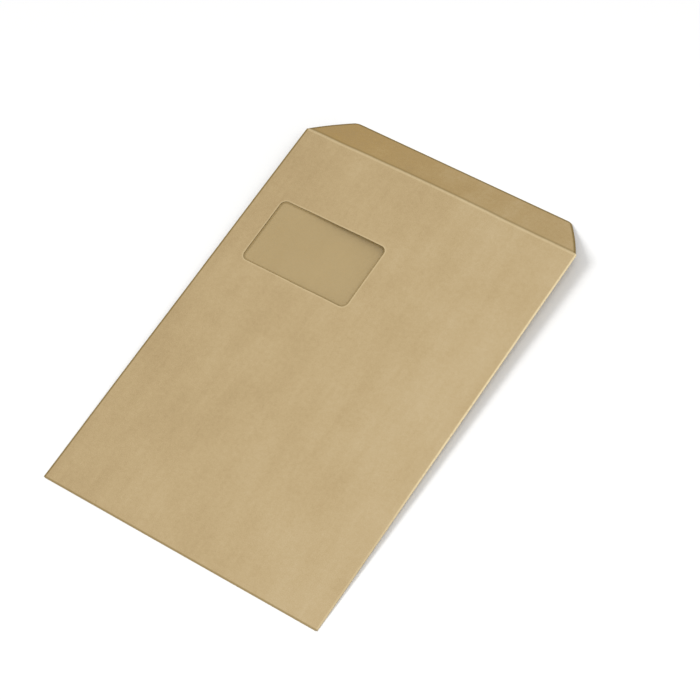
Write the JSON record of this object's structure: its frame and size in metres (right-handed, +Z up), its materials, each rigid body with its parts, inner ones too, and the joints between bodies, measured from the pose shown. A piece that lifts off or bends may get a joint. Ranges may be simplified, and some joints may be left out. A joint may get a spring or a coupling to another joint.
{
  "type": "paper envelope",
  "caption": "Brown kraft pocket envelope in portrait format, with a clear address window, side seams and an open self-seal flap on the short side; holds unfolded sheets.",
  "frame": {"origin": "bottom centre of the bounding box, on the ground under the middle of the envelope", "axes": "+Z up, the side that the front panel and its window face; +Y from the bottom fold to the closure flap; +X to the right as the front is read with the flap at the top"},
  "size_m": [0.229, 0.353, 0.0161],
  "materials": {
    "kraft_paper": "matte",
    "clear_film": "gloss",
    "flap_strip": "satin",
    "pocket_strip": "satin"
  },
  "bodies": {
    "root": {"folded_sheet": "kraft_paper", "window_film": "clear_film", "flap_adhesive": "flap_strip", "pocket_adhesive": "pocket_strip"}
  },
  "joints": []
}
